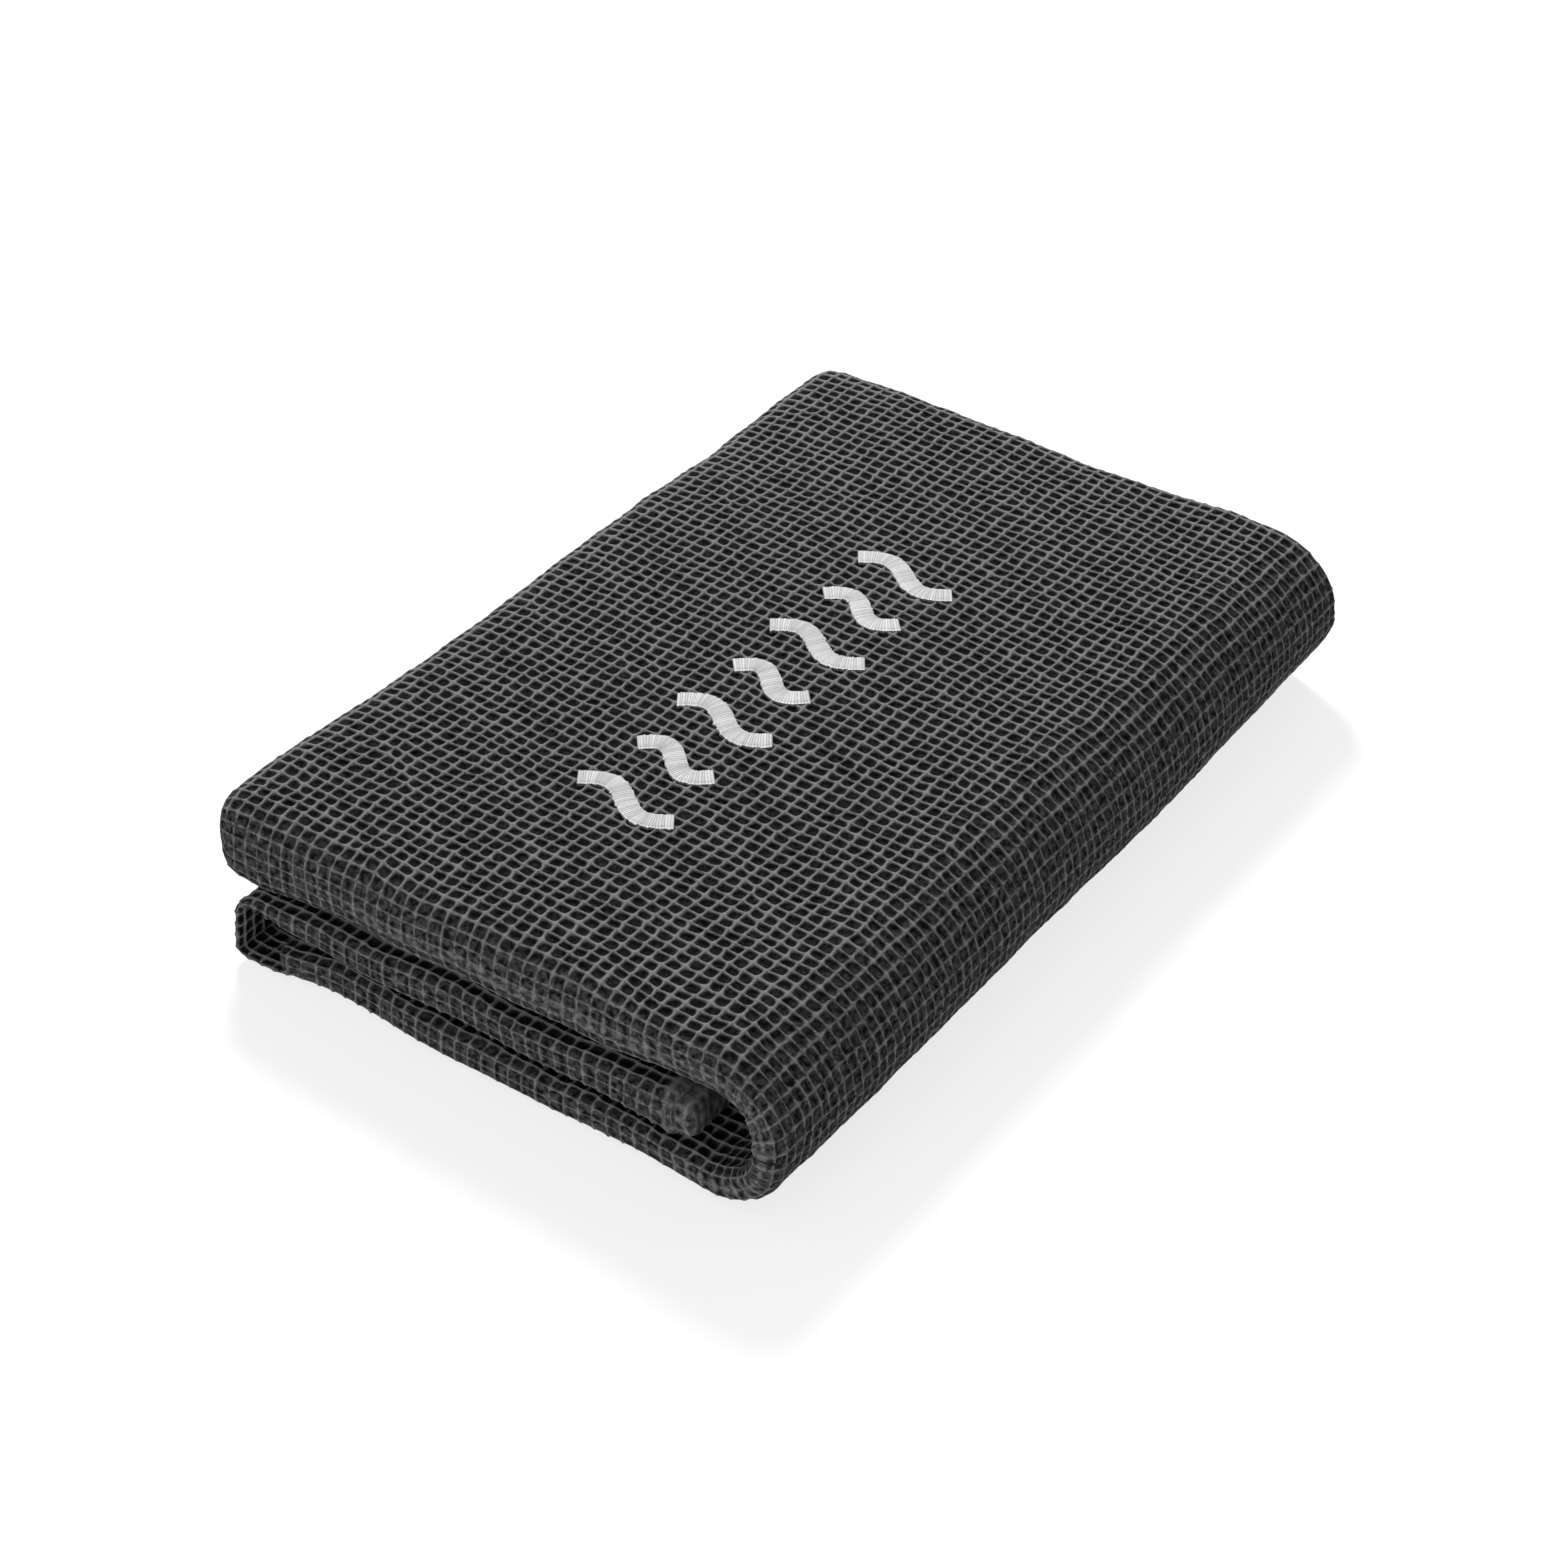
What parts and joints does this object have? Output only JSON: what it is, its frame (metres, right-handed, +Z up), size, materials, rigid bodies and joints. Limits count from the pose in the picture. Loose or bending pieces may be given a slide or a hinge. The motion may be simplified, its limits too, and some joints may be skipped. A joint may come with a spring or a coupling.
{
  "type": "folded sauna blanket",
  "caption": "Black waffle-weave sauna blanket, folded in a C round a right-hand spine; the cover opens flat to show the inner flap.",
  "frame": {"origin": "middle of the folded blanket's footprint, on the surface that it lies on", "axes": "+X across the stack to the spine, +Y along the stack away from the front fold, +Z up"},
  "size_m": [0.271, 0.396, 0.069],
  "materials": {
    "waffle_cloth": "black honeycomb waffle-weave cotton with softly worn grey ridges",
    "hem_thread": "black spun sewing thread",
    "embroidery_thread": "white satin-stitch embroidery thread with a light sheen",
    "backing_cloth": "grey non-woven embroidery backing",
    "label_satin": "blank white satin care label"
  },
  "bodies": {
    "base": {"base_outer_ply": "waffle_cloth", "base_inner_ply": "waffle_cloth", "base_hem": "waffle_cloth", "base_hem_thread": "hem_thread", "flap_outer_ply": "waffle_cloth", "flap_inner_ply": "waffle_cloth", "flap_hem": "waffle_cloth", "flap_hem_thread": "hem_thread", "left_fold_ply": "waffle_cloth"},
    "spine": {"spine_outer_ply": "waffle_cloth", "spine_inner_plies": "waffle_cloth"},
    "cover": {"cover_outer_ply": "waffle_cloth", "cover_second_ply": "waffle_cloth", "cover_third_ply": "waffle_cloth", "cover_inner_ply": "waffle_cloth", "cover_hem": "waffle_cloth", "cover_hem_thread": "hem_thread", "care_label": "label_satin", "embroidery_backing": "backing_cloth", "embroidered_wave_1": "embroidery_thread", "embroidered_wave_2": "embroidery_thread", "embroidered_wave_3": "embroidery_thread", "embroidered_wave_4": "embroidery_thread", "embroidered_wave_5": "embroidery_thread", "embroidered_wave_6": "embroidery_thread", "embroidered_wave_7": "embroidery_thread"}
  },
  "joints": [
    {"name": "spine_turning", "type": "hinge", "parent": "base", "child": "spine", "pos_m": [0.1206, 0, 0.016], "axis": [0, 1, 0], "range_deg": [0, 90], "deforming": ["spine_outer_ply", "spine_inner_plies"]},
    {"name": "cover_opening", "type": "hinge", "parent": "spine", "child": "cover", "pos_m": [0.1206, 0, 0.0541], "axis": [0, 1, 0], "range_deg": [0, 90]}
  ],
  "couplings": [
    {"joint": "spine_turning", "follows": "cover_opening", "ratio": 1}
  ]
}
